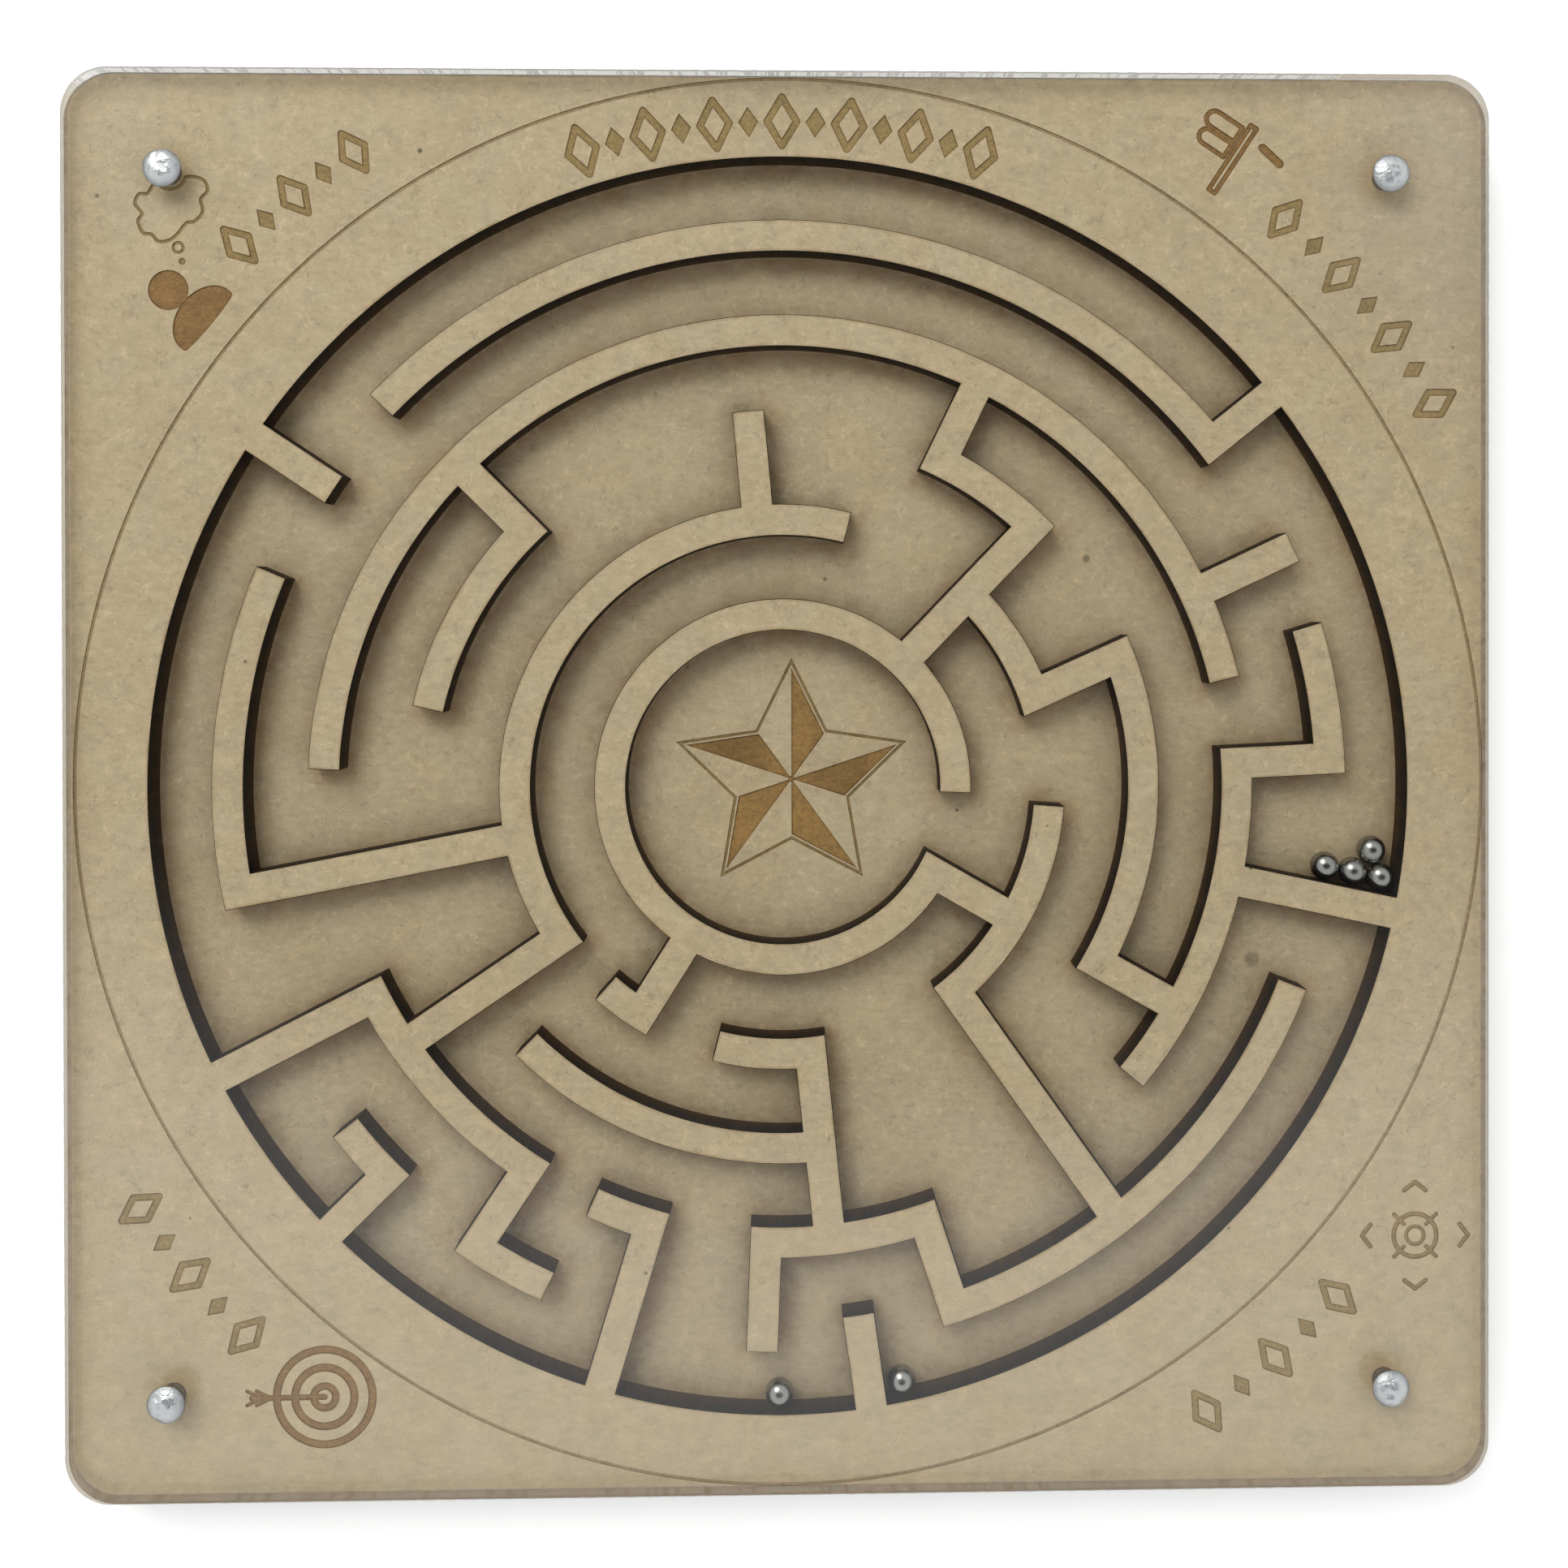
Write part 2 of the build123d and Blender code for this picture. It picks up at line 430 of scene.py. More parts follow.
def fibre_layers(g, mm):
    """Pressed-fibre pattern: mottling, grain, light and dark fibres, specks. All around zero."""
    mott = g.m("SUBTRACT", g.noise(mm, 0.11, 4.0, 0.62), 0.5)
    mid = g.m("SUBTRACT", g.noise(mm, 0.5, 5.0, 0.68), 0.5)
    fleck = g.m("SUBTRACT", g.noise(g.v("MULTIPLY", mm, (0.75, 1.5, 1.0)), 1.05, 4.0, 0.62, 0.6), 0.5)
    mid = g.sum(mid, g.m("MULTIPLY", fleck, 1.15))
    grain = g.m("SUBTRACT", g.noise(mm, 5.0, 4.0, 0.7), 0.5)
    warp = g.v("SCALE", g.v("SUBTRACT", g.noise_col(mm, 0.55, 3.0), (0.5, 0.5, 0.5)), scale=2.6)
    bent = g.v("ADD", mm, warp)
    fib = g.node("ShaderNodeTexVoronoi", {"Vector": bent, "Scale": 0.62}, feature="DISTANCE_TO_EDGE").outputs[0]
    keep = g.step(g.noise(mm, 0.85, 2.0), 0.5, 0.62)
    light = g.m("MULTIPLY", g.step(fib, 0.0, 0.075, 1.0, 0.0), keep)
    bent2 = g.v("ADD", bent, (17.3, 9.1, 3.7))
    fib2 = g.node("ShaderNodeTexVoronoi", {"Vector": bent2, "Scale": 0.8}, feature="DISTANCE_TO_EDGE").outputs[0]
    keep2 = g.step(g.noise(mm, 0.7, 2.0), 0.48, 0.34)
    dark = g.m("MULTIPLY", g.step(fib2, 0.0, 0.06, 1.0, 0.0), keep2)
    bent3 = g.v("ADD", mm, g.v("SCALE", g.v("SUBTRACT", g.noise_col(mm, 1.6, 2.0), (0.5, 0.5, 0.5)), scale=1.1))
    fine = g.node("ShaderNodeTexVoronoi", {"Vector": bent3, "Scale": 1.25}, feature="DISTANCE_TO_EDGE").outputs[0]
    where = g.noise(mm, 1.5, 2.0, 0.6)
    fine = g.step(fine, 0.0, 0.085, 1.0, 0.0)
    light = g.m("ADD", light, g.m("MULTIPLY", g.m("MULTIPLY", fine, g.step(where, 0.55, 0.66)), 0.75))
    dark = g.m("ADD", dark, g.m("MULTIPLY", g.m("MULTIPLY", fine, g.step(where, 0.43, 0.33)), 0.75))
    calm = g.step(g.node("ShaderNodeSeparateXYZ", {"Vector": mm}).outputs[1], -70.0, -38.0, 0.5, 1.0)  # smoother at the front
    light, dark = g.m("MULTIPLY", light, calm), g.m("MULTIPLY", dark, calm)
    cell = g.node("ShaderNodeTexVoronoi", {"Vector": mm, "Scale": 0.21}, feature="F1")
    pick = g.node("ShaderNodeSeparateColor", {"Color": cell.outputs["Color"]}).outputs[0]
    size = g.m("MULTIPLY", g.m("POWER", pick, 6.0), 0.055)
    speck = g.step(g.m("SUBTRACT", cell.outputs["Distance"], size), -0.006, 0.012, 1.0, 0.0)
    return mott, mid, grain, light, dark, speck


def rivet_scorch_and_shade(g, mm):
    """A faint ring of smoke stain round each rivet hole, with a narrower ring of painted shade where the rivet head
    overhangs: 1 at the hole, 0 some way out.
    """
    sep = g.node("ShaderNodeSeparateXYZ", {"Vector": mm})
    rx, ry = RIVETS["rear_right"]
    fy = RIVETS["front_right"][1]
    cy, half = (ry + fy) / 2, (ry - fy) / 2
    dx = g.m("SUBTRACT", g.m("ABSOLUTE", sep.outputs[0]), rx)
    dy = g.m("SUBTRACT", g.m("ABSOLUTE", g.m("SUBTRACT", sep.outputs[1], cy)), half)
    d = g.m("SQRT", g.m("ADD", g.m("MULTIPLY", dx, dx), g.m("MULTIPLY", dy, dy)))
    d = g.m("ADD", d, g.m("MULTIPLY", g.m("SUBTRACT", g.noise(mm, 0.8, 3.0), 0.5), 1.2))
    # the second, narrower ring is painted shade under the rim of the rivet head
    return g.m("ADD", g.m("MULTIPLY", g.step(d, 1.9, 3.9, 1.0, 0.0), 0.75), g.m("MULTIPLY", g.step(d, 1.7, 2.7, 1.0, 0.0), 0.5))


def fibreboard(name, tint, floor=False, back=False, marks=()):
    """marks: dark specks in the board, (x, y, radius, amount)."""
    mat, g, bsdf, mm = new_material(name)
    mott, mid, grain, light, dark, speck = fibre_layers(g, mm)
    k = g.sum(
        1.0,
        g.m("MULTIPLY", mott, 0.22),
        g.m("MULTIPLY", mid, 0.37),
        g.m("MULTIPLY", grain, 0.28),
        g.m("MULTIPLY", light, 0.17),
        g.m("MULTIPLY", dark, -0.22),
        g.m("MULTIPLY", speck, -0.5),
    )
    warm = g.step(g.noise(mm, 0.17, 3.0, 0.5), 0.36, 0.66)
    base = g.mix(warm, (tint[0] * 1.012, tint[1] * 0.99, tint[2] * 0.965, 1), (tint[0] * 0.99, tint[1] * 1.003, tint[2] * 1.015, 1))
    if floor:
        # Near the walls the floor darkens: blotches of laser smoke soot, and painted shade.
        near = g.node("ShaderNodeAttribute", attribute_name="wall_mm").outputs["Fac"]
        edge = g.m("ADD", near, g.m("MULTIPLY", g.m("SUBTRACT", g.noise(mm, 0.45, 4.0, 0.65), 0.5), 2.4))
        wall_band = g.step(edge, -0.3, 3.2, 1.0, 0.0)
        blotch = g.step(g.noise(mm, 0.30, 4.0, 0.62), 0.40, 0.66)
        # painted shadow: warm darkening beside each wall on its side away from the softbox
        shadow_side = g.step(g.node("ShaderNodeAttribute", attribute_name="wall_lee").outputs["Fac"], 0.35, 0.95)
        soot_and_shadow = g.m("MULTIPLY", wall_band, g.sum(0.05, g.m("MULTIPLY", blotch, 0.24), g.m("MULTIPLY", shadow_side, 0.38)))
        base = g.mix(soot_and_shadow, base, (tint[0] * 0.50, tint[1] * 0.29, tint[2] * 0.13, 1))
        # painted contact shade along the foot of the walls
        contact_shade = g.m("MULTIPLY", g.step(near, 0.0, 1.0, 1.0, 0.0), g.step(g.noise(mm, 0.5, 3.0, 0.6), 0.3, 0.7, 0.12, 0.5))
        base = g.mix(contact_shade, base, (tint[0] * 0.46, tint[1] * 0.38, tint[2] * 0.27, 1))
        stain = g.m("MULTIPLY", g.step(g.noise(mm, 0.16, 3.0, 0.6), 0.60, 0.72), g.step(near, 0.2, 2.6, 1.0, 0.0))
        base = g.mix(g.m("MULTIPLY", stain, 0.5), base, (tint[0] * 0.52, tint[1] * 0.52, tint[2] * 0.42, 1))
    elif not back:
        cut = g.node("ShaderNodeAttribute", attribute_name="edge_mm").outputs["Fac"]
        reach = g.m("MULTIPLY", g.step(g.noise(mm, 0.22, 3.0, 0.6), 0.42, 0.68), 0.62)
        scorch = g.m("MULTIPLY", g.step(cut, 0.04, 0.42, 1.0, 0.0), g.m("ADD", 0.20, reach))
        base = g.mix(scorch, base, (tint[0] * 0.62, tint[1] * 0.50, tint[2] * 0.34, 1))
        # smoke stain and painted shade round the rivet holes
        scorch_and_shade_halo = rivet_scorch_and_shade(g, mm)
        base = g.mix(g.m("MULTIPLY", scorch_and_shade_halo, 0.34), base, (tint[0] * 0.78, tint[1] * 0.64, tint[2] * 0.42, 1))
    for x, y, radius, amount in marks:
        d = g.v("LENGTH", g.v("MULTIPLY", g.v("SUBTRACT", mm, (x, y, 0.0)), (1.0, 1.0, 0.0)))
        d = g.m("ADD", d, g.m("MULTIPLY", g.m("SUBTRACT", g.noise(mm, 1.4 / radius, 3.0), 0.5), radius * 0.9))
        spot = g.m("MULTIPLY", g.step(d, radius * 0.5, radius * 1.15, 1.0, 0.0), amount)
        base = g.mix(spot, base, (tint[0] * 0.16, tint[1] * 0.15, tint[2] * 0.12, 1))
    vec = g.v("SCALE", base, scale=k)
    g.put(bsdf.inputs["Base Color"], vec)
    rough = g.m("ADD", 0.60, g.m("MULTIPLY", g.sum(mid, grain), 0.25))
    g.put(bsdf.inputs["Roughness"], rough)
    bsdf.inputs["Specular IOR Level"].default_value = 0.32
    h = g.sum(g.m("MULTIPLY", grain, 0.7), g.m("MULTIPLY", light, 0.35), g.m("MULTIPLY", dark, -0.35), g.m("MULTIPLY", mid, 0.4))
    bump = g.node("ShaderNodeBump", {"Strength": 0.55, "Distance": 0.00006, "Height": h})
    g.put(bsdf.inputs["Normal"], bump.outputs[0])
    return mat


def charred(name, core, pale_brown):
    """Laser-cut edge: burnt brown with fine vertical striations."""
    mat, g, bsdf, mm = new_material(name)
    stretched = g.v("MULTIPLY", mm, (1.0, 1.0, 0.07))
    lines = g.noise(stretched, 5.5, 4.0, 0.7)
    broad = g.noise(stretched, 0.7, 3.0, 0.6)
    flakes = g.noise(mm, 9.0, 3.0, 0.7)
    sep = g.node("ShaderNodeSeparateXYZ", {"Vector": mm}).outputs[2]
    band = g.noise(g.v("MULTIPLY", mm, (0.25, 0.25, 2.2)), 1.0, 3.0, 0.6)
    # darker at the top of the cut, paler towards the floor
    f = g.sum(g.m("MULTIPLY", g.m("SUBTRACT", lines, 0.5), 1.3), g.m("MULTIPLY", g.m("SUBTRACT", broad, 0.5), 0.9), g.m("MULTIPLY", g.m("SUBTRACT", flakes, 0.5), 0.8), g.m("MULTIPLY", g.m("SUBTRACT", band, 0.5), 0.7), g.step(sep, Z_FLOOR, Z_WALL - 0.5, 0.78, 0.06))
    g.put(bsdf.inputs["Base Color"], g.mix(g.m("MAXIMUM", g.m("MINIMUM", f, 1.0), 0.0), core, pale_brown))
    g.put(bsdf.inputs["Roughness"], g.m("ADD", 0.62, g.m("MULTIPLY", flakes, 0.2)))
    bsdf.inputs["Specular IOR Level"].default_value = 0.22
    bump = g.node("ShaderNodeBump", {"Strength": 0.7, "Distance": 0.00005, "Height": g.m("ADD", lines, g.m("MULTIPLY", flakes, 0.5))})
    g.put(bsdf.inputs["Normal"], bump.outputs[0])
    return mat


def engraved(name, tint, raster, burns=()):
    """Laser-engraved fibreboard: toasted brown, fine scan lines along x. burns: (x, y, radius, amount)."""
    mat, g, bsdf, mm = new_material(name)
    mott, mid, grain, light, dark, speck = fibre_layers(g, mm)
    scan = g.noise(g.v("MULTIPLY", mm, (0.16, 5.2, 1.0)), 1.0, 2.0, 0.6)
    patch = g.noise(mm, 0.35, 4.0, 0.6)
    flecks = g.noise(mm, 2.6, 3.0, 0.65, 0.5)
    k = g.sum(1.0, g.m("MULTIPLY", g.m("SUBTRACT", scan, 0.5), raster), g.m("MULTIPLY", g.m("SUBTRACT", patch, 0.5), 0.6), g.m("MULTIPLY", g.m("SUBTRACT", flecks, 0.5), 1.1), g.m("MULTIPLY", grain, 0.5), g.m("MULTIPLY", light, 0.14), g.m("MULTIPLY", dark, -0.14))
    for x, y, radius, amount in burns:
        d = g.v("LENGTH", g.v("MULTIPLY", g.v("SUBTRACT", mm, (x, y, 0.0)), (1.0, 1.0, 0.0)))
        k = g.m("MULTIPLY", k, g.m("SUBTRACT", 1.0, g.m("MULTIPLY", g.step(d, radius * 0.35, radius, 1.0, 0.0), amount)))
    g.put(bsdf.inputs["Base Color"], g.v("SCALE", tint, scale=k))
    g.put(bsdf.inputs["Roughness"], g.m("ADD", 0.72, g.m("MULTIPLY", grain, 0.2)))
    bsdf.inputs["Specular IOR Level"].default_value = 0.2
    bump = g.node("ShaderNodeBump", {"Strength": 0.7, "Distance": 0.00007, "Height": g.m("ADD", scan, grain)})
    g.put(bsdf.inputs["Normal"], bump.outputs[0])
    return mat


def acrylic(name, kind="face"):
    """Clear sheet without refraction: each surface reflects by Schlick's law and lets the rest through.
    The laser-cut edge is frosted by fine vertical striations, with white painted glints along them; its arrises are
    darker."""
    mat, g, bsdf, mm = new_material(name)
    out = next(n for n in mat.node_tree.nodes if n.type == "OUTPUT_MATERIAL")
    mat.node_tree.nodes.remove(bsdf)
    facing = g.node("ShaderNodeLayerWeight", {"Blend": 0.5}).outputs["Facing"]
    schlick = g.m("ADD", 0.039, g.m("MULTIPLY", g.m("POWER", facing, 5.0), 0.961))
    cloud = g.noise(mm, 0.06, 3.0, 0.5)
    if kind == "face":
        streak = g.noise(g.v("MULTIPLY", mm, (0.02, 0.16, 1.0)), 1.0, 3.0, 0.6)
        film = g.m("ADD", g.m("MULTIPLY", cloud, 0.6), g.m("MULTIPLY", streak, 0.4))
        clear = g.node("ShaderNodeBsdfTransparent", {"Color": g.mix(film, (0.997, 0.998, 0.996, 1.0), (0.982, 0.99, 0.988, 1.0))})
        gloss = g.node("ShaderNodeBsdfGlossy", {"Roughness": 0.0})
        sheet_mix = g.node("ShaderNodeMixShader", {0: schlick, 1: clear, 2: gloss})
        cell = g.node("ShaderNodeTexVoronoi", {"Vector": mm, "Scale": 0.33}, feature="F1")
        pick = g.node("ShaderNodeSeparateColor", {"Color": cell.outputs["Color"]}).outputs[1]
        size = g.m("MULTIPLY", g.m("POWER", pick, 8.0), 0.035)
        dust_and_sheen = g.m("MULTIPLY", g.step(g.m("SUBTRACT", cell.outputs["Distance"], size), -0.01, 0.004, 1.0, 0.0), 0.35)
        corner = g.v("LENGTH", g.v("MULTIPLY", g.v("SUBTRACT", mm, (76.0, 64.0, 0.0)), (1.0, 0.8, 0.0)))
        corner = g.m("ADD", corner, g.m("MULTIPLY", g.m("SUBTRACT", streak, 0.5), 14.0))
        dust_and_sheen = g.m("ADD", dust_and_sheen, g.m("MULTIPLY", g.step(corner, 3.0, 27.0, 1.0, 0.0), 0.05))  # a whitish patch of painted sheen in one corner, standing in for a reflection
        haze = g.node("ShaderNodeBsdfDiffuse", {"Color": (0.75, 0.75, 0.74, 1.0)})
        g.put(out.inputs["Surface"], g.node("ShaderNodeMixShader", {0: dust_and_sheen, 1: sheet_mix, 2: haze}))
        return mat
    stretched = g.v("MULTIPLY", mm, (1.0, 1.0, 0.05))
    lines = g.noise(stretched, 3.2, 4.0, 0.7)
    normal = g.node("ShaderNodeBump", {"Strength": 0.9, "Distance": 0.00008, "Height": lines}).outputs[0]
    sep = g.node("ShaderNodeSeparateXYZ", {"Vector": mm}).outputs
    band = g.m("MULTIPLY", g.step(sep[2], Z_WALL + 0.10, Z_WALL + 0.35), g.step(sep[2], Z_WALL + 1.2, Z_WALL + 1.6, 1.0, 0.08))
    glint_dash = g.m("MULTIPLY", g.step(g.noise(stretched, 1.7, 2.0, 0.6), 0.40, 0.50), band)  # white dashes half way up: painted glints
    fine = g.m("MULTIPLY", g.step(lines, 0.40, 0.75), 0.22)
    painted_sparkle = g.m("MINIMUM", g.m("ADD", g.m("MULTIPLY", glint_dash, 0.9), fine), 1.0)
    # the rear edge is frosted up to its right end, the other three came off the laser nearly clear
    rear = g.m("MULTIPLY", g.step(sep[1], 72.2, 74.6), g.step(g.m("ADD", sep[0], g.m("MULTIPLY", g.m("SUBTRACT", lines, 0.5), 22.0)), 55.0, 60.0, 1.0, 0.0))
    if kind == "edge":
        grey, white, tone = (0.42, 0.42, 0.41, 1.0), (0.97, 0.97, 0.96, 1.0), g.mix(rear, (0.56, 0.50, 0.42, 1.0), (0.86, 0.85, 0.83, 1.0))
        haze = g.m("ADD", 0.15, g.m("MULTIPLY", rear, 0.45))
    else:
        grey, white, tone = (0.20, 0.195, 0.185, 1.0), (0.55, 0.55, 0.54, 1.0), g.mix(rear, (0.80, 0.79, 0.77, 1.0), (0.45, 0.44, 0.42, 1.0))
        haze = g.m("ADD", 0.10, g.m("MULTIPLY", rear, 0.35))
    clear = g.node("ShaderNodeBsdfTransparent", {"Color": tone})
    colour = g.mix(painted_sparkle, grey, white)
    inside = g.node("ShaderNodeBsdfTranslucent", {"Color": colour, "Normal": normal})
    outside = g.node("ShaderNodeBsdfDiffuse", {"Color": colour, "Normal": normal})
    frost = g.node("ShaderNodeMixShader", {0: 0.5, 1: inside, 2: outside})
    body = g.node("ShaderNodeMixShader", {0: haze, 1: clear, 2: frost})
    gloss = g.node("ShaderNodeBsdfGlossy", {"Roughness": 0.09, "Normal": normal})
    share = g.m("MINIMUM", g.m("ADD", schlick, 0.04), 0.5)
    g.put(out.inputs["Surface"], g.node("ShaderNodeMixShader", {0: share, 1: body, 2: gloss}))
    return mat


def metal(name, tint, rough, spread, bump_mm, scale, rim_shade=None):
    """rim_shade: the heights in mm between which the metal goes from a painted shade at the dome's rim, standing in
    for a dark reflection, to its own colour.
    """
    mat, g, bsdf, mm = new_material(name)
    bsdf.inputs["Metallic"].default_value = 1.0
    fine = g.noise(mm, scale, 4.0, 0.6)
    wide = g.noise(mm, scale * 0.22, 2.0, 0.5)
    k = g.sum(0.94, g.m("MULTIPLY", fine, 0.07), g.m("MULTIPLY", wide, 0.05))
    r = g.m("ADD", rough, g.m("MULTIPLY", wide, spread))
    if rim_shade:
        # painted shade: the dome darkens towards its rim, standing in for a dark reflection there
        z = g.node("ShaderNodeSeparateXYZ", {"Vector": mm}).outputs[2]
        kept = g.step(g.m("ADD", z, g.m("MULTIPLY", g.m("SUBTRACT", wide, 0.5), 0.5)), rim_shade[0], rim_shade[1])
        kept = g.m("MAXIMUM", kept, g.step(z, Z_TOP - 0.12, Z_TOP - 0.02, 1.0, 0.0))  # the painted rim shade stops above the shank inside its hole
        k = g.m("MULTIPLY", k, g.m("ADD", 0.42, g.m("MULTIPLY", kept, 0.58)))
        r = g.m("ADD", r, g.m("MULTIPLY", g.m("SUBTRACT", 1.0, kept), 0.15))
    g.put(bsdf.inputs["Base Color"], g.v("SCALE", tint, scale=k))
    g.put(bsdf.inputs["Roughness"], r)
    bump = g.node("ShaderNodeBump", {"Strength": 0.5, "Distance": bump_mm * MM, "Height": fine})
    g.put(bsdf.inputs["Normal"], bump.outputs[0])
    return mat


FACE = (0.483, 0.386, 0.245)
mat_face = fibreboard("fibreboard_face", FACE, marks=((-38.0, 67.0, 0.30, 0.8), (-56.35, 13.4, 0.22, 0.7), (49.75, -8.8, 0.24, 0.9), (12.4, 19.6, 0.2, 0.6)))
mat_floor = fibreboard("fibreboard_floor", (FACE[0] * 0.95, FACE[1] * 0.945, FACE[2] * 0.93), floor=True, marks=((18.75, -2.95, 0.2, 0.8), (50.9, -19.3, 1.0, 0.45), (32.8, 24.2, 0.5, 0.65), (-10.3, 12.6, 0.25, 0.5)))
mat_back = fibreboard("fibreboard_back", FACE, back=True)
mat_edge = charred("fibreboard_cut_edge", lin(17, 9, 2), lin(68, 46, 24))
star_burns = ((-5.6, 4.2, 5.5, 0.30), (6.6, 2.0, 5.0, 0.26))
mat_line = engraved("engraved_line", lin(149, 127, 84), 0.25)
mat_fill = engraved("engraved_fill", lin(138, 107, 66), 0.4)
mat_faint = engraved("engraved_circle", lin(157, 137, 103), 0.2)
mat_faint_rim = engraved("engraved_circle_border", lin(144, 121, 86), 0.2)
mat_star = engraved("engraved_star", lin(145, 113, 66), 0.45, star_burns)
mat_line_rim = engraved("engraved_line_border", lin(132, 106, 66), 0.2)
mat_fill_rim = engraved("engraved_fill_border", lin(124, 92, 52), 0.3)
mat_star_rim = engraved("engraved_star_border", lin(122, 90, 50), 0.3, star_burns)
mat_clear = acrylic("acrylic_face")
mat_clear_edge = acrylic("acrylic_cut_edge", "edge")
mat_clear_arris = acrylic("acrylic_arris", "arris")
mat_rivet = metal("aluminium_hammered", (0.57, 0.59, 0.595), 0.20, 0.24, 0.30, 1.9, (Z_TOP + 0.05, Z_TOP + 0.95))
mat_ball = metal("bearing_steel", (0.33, 0.325, 0.305), 0.20, 0.12, 0.004, 2.0)


# ------------------------------------------------------------------ wall sheet
levels = [18.26 + 10.0 * k for k in range(5)]
true_circles = [(0.0, 0.0, 66.5)] + [(0.0, 0.0, r + s) for r in levels for s in (-1.665, 1.665)]
raw = cad_outlines("maze_layer", maze_lo.z)
outer_loop = rounded_square(0.0, 0.0, (maze_hi.x - maze_lo.x) / 2 / MM, 5.0, 1.5)
wall_loops = []
for loop in raw:
    xs, ys = [p[0] for p in loop], [p[1] for p in loop]
    size = max(max(xs) - min(xs), max(ys) - min(ys))
    if size < 4 or signed_area(loop) > 0:
        continue  # the rivet holes and the outside are made anew
    wall_loops.append(refine(loop, true_circles, 1.1, 3.0))


def distance_field(loops_in, step):
    """Distance in the plan, in mm, to the nearest of these outlines."""
    pts = [p for l in loops_in for p in resample(l, step)]
    tree = kdtree.KDTree(len(pts))
    for k, (x, y) in enumerate(pts):
        tree.insert((x, y, 0.0), k)
    tree.balance()
    return lambda co: tree.find((co.x / MM, co.y / MM, 0.0))[2]


def shadow_side_field(loops_in, step, shadow_dir):
    """Painted shadow: 1 where the nearest outline lies straight against shadow_dir, towards the softbox, 0 where it
    lies along shadow_dir.
    """
    pts = [p for l in loops_in for p in resample(l, step)]
    tree = kdtree.KDTree(len(pts))
    for k, (x, y) in enumerate(pts):
        tree.insert((x, y, 0.0), k)
    tree.balance()
    up = -Vector(shadow_dir).normalized()

    def shadow_side(co):
        p = Vector((co.x / MM, co.y / MM, 0.0))
        q, _, d = tree.find(p)
        return 0.5 if d < 1e-6 else 0.5 + 0.5 * (q - p).normalized().dot(up)

    return shadow_side


wall_distance = distance_field(wall_loops, 0.2)
wall_lee = shadow_side_field(wall_loops, 0.2, (0.5, -0.86, 0.0))  # painted shadow: the walls' shadows fall to the front right, away from the softbox
cut_distance = distance_field(wall_loops + [outer_loop], 0.1)


def edge_distance(co):
    return cut_distance(co) if co.z / MM > Z_WALL - 0.02 else 0.0


art = Engraving()
LINE, FILL, STAR, FAINT = 1, 2, 3, 4
art.poly(FAINT, circle_pts(0.2, 0.4, 74.35 + 0.13, 360), circle_pts(0.2, 0.4, 74.35 - 0.22, 360), 0.09)


def hollow_diamond(c, tall, wide, turn, w):
    ux, uy = math.cos(math.radians(turn)), math.sin(math.radians(turn))
    pts = [(c[0] + ux * a + uy * b, c[1] + uy * a - ux * b) for a, b in ((tall / 2, 0), (0, wide / 2), (-tall / 2, 0), (0, -wide / 2))]
    art.line(LINE, pts, w, closed=True)


def solid_diamond(c, tall, wide, turn):
    ux, uy = math.cos(math.radians(turn)), math.sin(math.radians(turn))
    art.poly(LINE, [(c[0] + ux * a + uy * b, c[1] + uy * a - ux * b) for a, b in ((tall / 2, 0), (0, wide / 2), (-tall / 2, 0), (0, -wide / 2))])


def band(r, a0, a1, n, tall, wide, w, small=0.55):
    """A run of alternating hollow and solid diamonds along an arc."""
    for i in range(n):
        a = a0 + (a1 - a0) * i / (n - 1)
        if i % 2 == 0:
            hollow_diamond(polar(r, a), tall - w, wide - w, a, w)
        else:
            solid_diamond(polar(r, a), tall * small, wide * small, a)


band(70.25, 107.4, 72.6, 13, 5.9, 3.9, 0.80)
band(80.5, 134.9, 123.9, 5, 5.4, 3.5, 0.75)
band(80.5, 48.4, 30.3, 7, 5.4, 3.5, 0.75)
band(80.5, -42.8, -56.0, 5, 5.4, 3.5, 0.75)
band(80.5, -146.9, -134.5, 5, 5.4, 3.5, 0.75)

# rear left: a head and shoulders with a thought cloud
def smooth_loop(pts, k=5):
    """Catmull-Rom through a closed run of points."""
    out, n = [], len(pts)
    for i in range(n):
        p0, p1, p2, p3 = (Vector(pts[(i + d) % n]) for d in (-1, 0, 1, 2))
        for t in (q / k for q in range(k)):
            out.append(tuple(0.5 * (2 * p1 + (p2 - p0) * t + (2 * p0 - 5 * p1 + 4 * p2 - p3) * t * t + (3 * p1 - p0 - 3 * p2 + p3) * t ** 3)))
    return out


cloud = [(-61.3, 64.1), (-60.4, 63.7), (-60.1, 62.7), (-60.8, 61.8), (-60.6, 60.5), (-61.4, 59.5), (-62.3, 59.3), (-63.2, 58.2), (-64.1, 57.5),
         (-65.2, 57.4), (-65.9, 58.1), (-66.8, 58.3), (-67.3, 59.5), (-66.9, 60.3), (-67.6, 61.3), (-67.2, 62.3), (-66.3, 62.4), (-65.6, 63.4), (-64.5, 63.8), (-63.6, 63.4), (-62.4, 64.1)]
rx, ry = RIVETS["rear_left"]
clear_of_rivet = []
for x, y in smooth_loop(cloud):
    d = math.hypot(x - rx, y - ry)
    k = max(1.0, 1.65 / d)
    clear_of_rivet.append((rx + (x - rx) * k, ry + (y - ry) * k))
art.line(LINE, clear_of_rivet, 0.36, closed=True)
art.ring(LINE, (-63.15, 56.75), 0.52, 0.32, 24)
art.disc(LINE, (-62.75, 55.3), 0.36, 20)
art.disc(FILL, (-64.2, 52.3), 2.1)
shoulders = []
mx, my, ax = -60.05, 49.05, math.degrees(math.atan2(51.9 - 46.2, -57.9 + 62.6))
